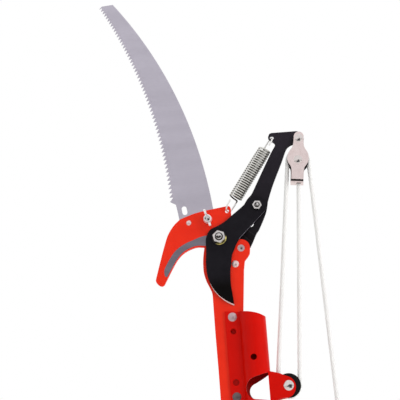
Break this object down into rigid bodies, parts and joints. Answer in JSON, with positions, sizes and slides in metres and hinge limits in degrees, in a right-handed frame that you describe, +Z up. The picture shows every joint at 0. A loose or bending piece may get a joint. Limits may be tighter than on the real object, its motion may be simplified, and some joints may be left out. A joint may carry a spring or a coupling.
{
  "type": "pole pruner head",
  "caption": "Pole pruner head: hooked jaw plate with a bypass blade, compound lever, return spring, rope tackle, curved pull saw and a folded pole socket.",
  "frame": {"origin": "centre of the pole socket's mouth, in the middle plane of the hook plate", "axes": "+Z up along the pole, +X from the hook side to the rope side, -Y to the viewer of the picture"},
  "size_m": [0.2472, 0.0301, 0.5345],
  "materials": {
    "red_paint": "gloss orange-red enamel on plate steel",
    "dark_red_paint": "gloss deeper red enamel on folded sheet",
    "ground_steel": "ground bare steel",
    "saw_steel": "satin spring steel, matt",
    "black_steel": "satin black oxide",
    "zinc": "bright zinc plate",
    "yellow_zinc": "yellow passivated zinc",
    "spring_wire": "bright zinc plated spring wire",
    "nickel_plate": "satin nickel plate",
    "black_plastic": "matt moulded nylon",
    "white_rope": "braided polyester cord"
  },
  "bodies": {
    "frame": {"hook_plate": "red_paint", "counter_blade": "ground_steel", "saw_blade": "saw_steel", "saw_rivet": "zinc", "wing_bolt": "zinc", "pivot_bolt": "zinc", "pivot_washer": "yellow_zinc", "pivot_nut": "zinc", "lever_rivet": "zinc", "stop_rivet": "zinc", "ferrule": "dark_red_paint", "ferrule_rivets": "zinc", "lower_axle": "zinc", "rope_standing": "white_rope", "rope_lower_wrap": "white_rope", "rope_lift": "white_rope"},
    "lever": {"lever": "black_steel"},
    "blade": {"cutting_blade": "black_steel", "tail_bolt": "zinc", "tail_bush": "zinc", "tail_nut": "zinc"},
    "block": {"block_front_plate": "nickel_plate", "block_rear_plate": "nickel_plate", "upper_axle": "zinc", "block_pin": "zinc", "block_spacers": "zinc", "becket_knot": "white_rope", "rope_upper_wrap": "white_rope", "rope_fall": "white_rope", "rope_end_knot": "white_rope"},
    "upper_sheave": {"upper_sheave": "black_plastic"},
    "lower_sheave": {"lower_sheave": "black_plastic"},
    "spring_lower": {"return_spring": "spring_wire", "spring_lower_hook": "spring_wire"},
    "spring_upper": {"spring_upper_hook": "spring_wire"},
    "wing_nut": {"wing_nut": "zinc"}
  },
  "joints": [
    {"name": "lever_pivot", "type": "hinge", "parent": "frame", "child": "lever", "pos_m": [-0.0061, 0, 0.2189], "axis": [0, 1, 0], "range_deg": [0, 91], "stiffness_Nm_per_rad": 0.8, "springref_deg": -51.57, "deforming": ["return_spring", "spring_upper_hook", "rope_standing", "rope_lift"]},
    {"name": "blade_pivot", "type": "hinge", "parent": "frame", "child": "blade", "pos_m": [-0.0296, 0, 0.2318], "axis": [0, 1, 0], "range_deg": [0, 64]},
    {"name": "block_swing", "type": "hinge", "parent": "lever", "child": "block", "pos_m": [0.0704, 0, 0.3415], "axis": [0, 1, 0], "range_deg": [-77, 0]},
    {"name": "spring_swing", "type": "hinge", "parent": "frame", "child": "spring_lower", "pos_m": [-0.0186, 0, 0.2633], "axis": [0, 1, 0], "range_deg": [0, 89]},
    {"name": "spring_stretch", "type": "slide", "parent": "spring_lower", "child": "spring_upper", "axis": [0.5766, 0, 0.817], "range_m": [0, 0.066]},
    {"name": "upper_sheave_spin", "type": "hinge", "parent": "block", "child": "upper_sheave", "pos_m": [0.0673, 0, 0.3158], "axis": [0, 1, 0], "continuous": true},
    {"name": "lower_sheave_spin", "type": "hinge", "parent": "frame", "child": "lower_sheave", "pos_m": [0.0338, 0, 0.061], "axis": [0, 1, 0], "continuous": true},
    {"name": "wing_nut_turn", "type": "hinge", "parent": "frame", "child": "wing_nut", "pos_m": [-0.0413, 0, 0.2555], "axis": [0, 1, 0], "continuous": true}
  ],
  "couplings": [
    {"joint": "blade_pivot", "follows": "lever_pivot", "ratio": 0.7025},
    {"joint": "block_swing", "follows": "lever_pivot", "ratio": -0.835},
    {"joint": "spring_swing", "follows": "lever_pivot", "ratio": 0.97211},
    {"joint": "spring_stretch", "follows": "lever_pivot", "m_per_rad": 0.04127}
  ]
}
